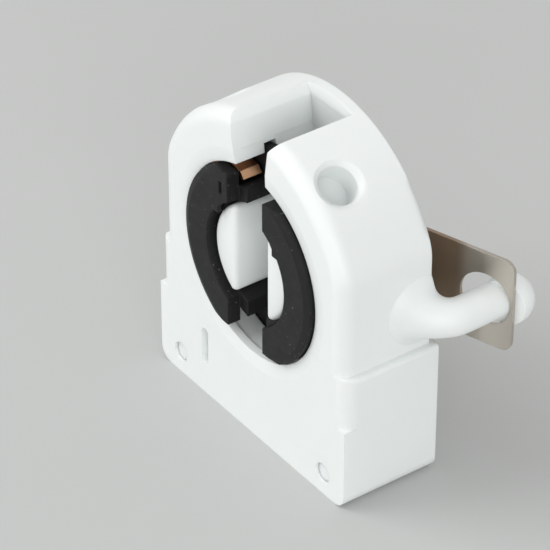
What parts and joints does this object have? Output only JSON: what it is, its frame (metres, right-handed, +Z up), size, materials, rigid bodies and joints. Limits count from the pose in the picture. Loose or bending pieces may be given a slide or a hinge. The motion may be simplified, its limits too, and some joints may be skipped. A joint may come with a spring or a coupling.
{
  "type": "rotary fluorescent tube lamp holder",
  "caption": "Rotary holder for a two-pin fluorescent tube, with a slotted rotor, inner contacts, push-in terminals and a leaf spring on two arms.",
  "frame": {"origin": "middle of the base's bottom face, midway between the front and back of the base", "axes": "+X across the holder to its right seen from the front, +Y from the front face to the leaf spring, +Z up from the base to the slot"},
  "size_m": [0.0348, 0.0171, 0.0304],
  "materials": {
    "white_plastic": "moulded thermoplastic, satin to gloss white",
    "black_plastic": "moulded thermoplastic, satin black",
    "copper_alloy": "stamped copper alloy strip, bare",
    "clamp_steel": "stamped spring steel, bare",
    "spring_steel": "bright rolled spring steel strip"
  },
  "bodies": {
    "holder": {"housing": "white_plastic", "rear_cover": "white_plastic", "contact_left": "copper_alloy", "contact_right": "copper_alloy", "clamp_left": "clamp_steel", "clamp_right": "clamp_steel", "leaf_spring": "spring_steel"},
    "rotor": {"rotor": "black_plastic"}
  },
  "joints": [
    {"name": "rotor_turn", "type": "hinge", "parent": "holder", "child": "rotor", "pos_m": [0, 0, 0.0171], "axis": [0, 1, 0], "range_deg": [-90, 90]}
  ]
}
